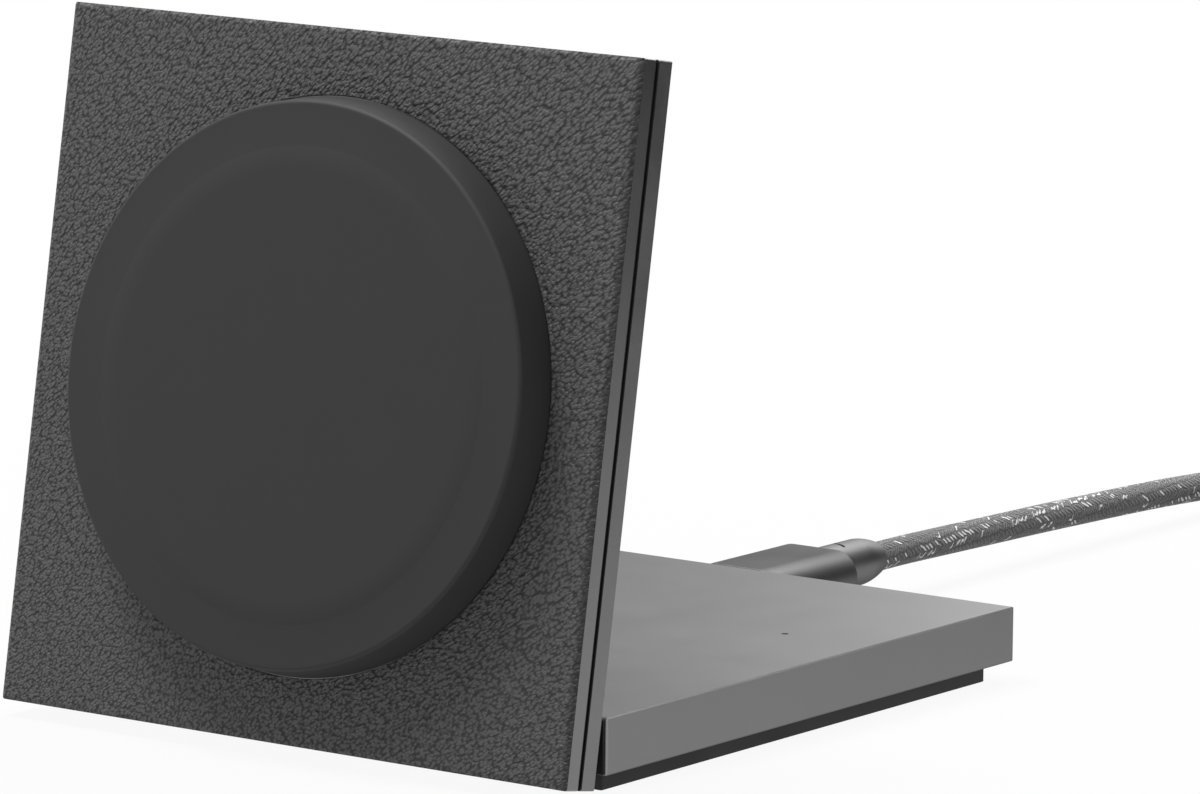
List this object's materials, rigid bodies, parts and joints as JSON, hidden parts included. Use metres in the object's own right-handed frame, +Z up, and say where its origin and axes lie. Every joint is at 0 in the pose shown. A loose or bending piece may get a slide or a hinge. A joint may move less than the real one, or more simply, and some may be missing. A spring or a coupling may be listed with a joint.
{
  "type": "folding magnetic wireless charger stand",
  "caption": "Square leather-faced charging stand: a leaning panel with a round magnetic puck folds back flat over a weighted metal base; USB-C lead plugged in behind.",
  "frame": {"origin": "middle of the foot pad's underside, on the table", "axes": "+Z up, the puck faces -Y, the lead leaves along +Y, +X to the right seen from the front"},
  "size_m": [0.0989, 0.2385, 0.0768],
  "materials": {
    "base_metal": "bead blasted, anodised gunmetal grey",
    "plate_metal": "bead blasted, anodised gunmetal grey",
    "hinge_steel": "pressed and turned steel",
    "pin_steel": "ground steel",
    "ballast_steel": "zinc plated steel",
    "screw_steel": "zinc plated steel",
    "washer_bronze": "spring bronze",
    "black_plastic": "moulded, matte",
    "board_laminate": "solder masked circuit board",
    "chip_plastic": "moulded component bodies",
    "clear_plastic": "clear light pipe and lamp",
    "foot_rubber": "matte rubber",
    "soft_touch": "soft-touch coated, matte",
    "face_leather": "pebbled grain, dark grey",
    "front_plate_paint": "smooth dark grey edge",
    "magnet_nickel": "nickel plated magnets",
    "ferrite": "sintered ferrite",
    "coil_copper": "wound litz copper",
    "wire_sleeve": "insulated wire bundle",
    "thermal_putty": "soft thermal pad",
    "plug_metal": "satin anodised grey",
    "plug_tube_steel": "plated steel",
    "lead_knit": "knitted grey jacket with light flecks",
    "strap_fabric": "woven black strap"
  },
  "bodies": {
    "base": {"base_shell": "base_metal", "front_cap": "black_plastic", "base_floor": "black_plastic", "foot_pad": "foot_rubber", "floor_screws": "screw_steel", "ballast_plate": "ballast_steel", "base_board": "board_laminate", "base_board_parts": "chip_plastic", "base_board_screws": "screw_steel", "usb_socket_shell": "plug_tube_steel", "usb_socket_tongue": "black_plastic", "status_light_pipe": "clear_plastic", "status_led": "clear_plastic", "hinge_bracket_left": "hinge_steel", "hinge_bracket_right": "hinge_steel", "hinge_pin_left": "pin_steel", "hinge_pin_right": "pin_steel", "friction_washers": "washer_bronze", "bracket_screws": "screw_steel", "base_wires": "wire_sleeve", "plug_shell": "plug_tube_steel", "plug_body": "plug_metal", "plug_collar": "plug_metal", "lead": "lead_knit", "lead_coil": "lead_knit", "coil_strap": "strap_fabric", "lead_tail": "lead_knit", "far_plug_collar": "plug_metal", "far_plug_body": "plug_metal", "far_plug_shell": "plug_tube_steel"},
    "panel": {"rear_plate": "plate_metal", "seam_frame": "black_plastic", "front_plate": "front_plate_paint", "leather_face": "face_leather", "panel_screws": "screw_steel", "hinge_leaf_left": "hinge_steel", "hinge_leaf_right": "hinge_steel", "leaf_screws": "screw_steel", "wire_barrel": "black_plastic", "panel_wires": "wire_sleeve", "puck_cover": "soft_touch", "puck_tray": "black_plastic", "tray_screws": "screw_steel", "shield_ring": "ballast_steel", "magnet_ring": "magnet_nickel", "ferrite_disc": "ferrite", "charging_coil": "coil_copper", "temperature_sensor": "chip_plastic", "charging_board": "board_laminate", "charging_board_parts": "chip_plastic", "charging_board_screws": "screw_steel", "thermal_pad": "thermal_putty"}
  },
  "joints": [
    {"name": "panel_fold", "type": "hinge", "parent": "base", "child": "panel", "pos_m": [0, -0.0366, 0.0064], "axis": [-1, 0, 0], "range_deg": [0, 80.4]}
  ]
}
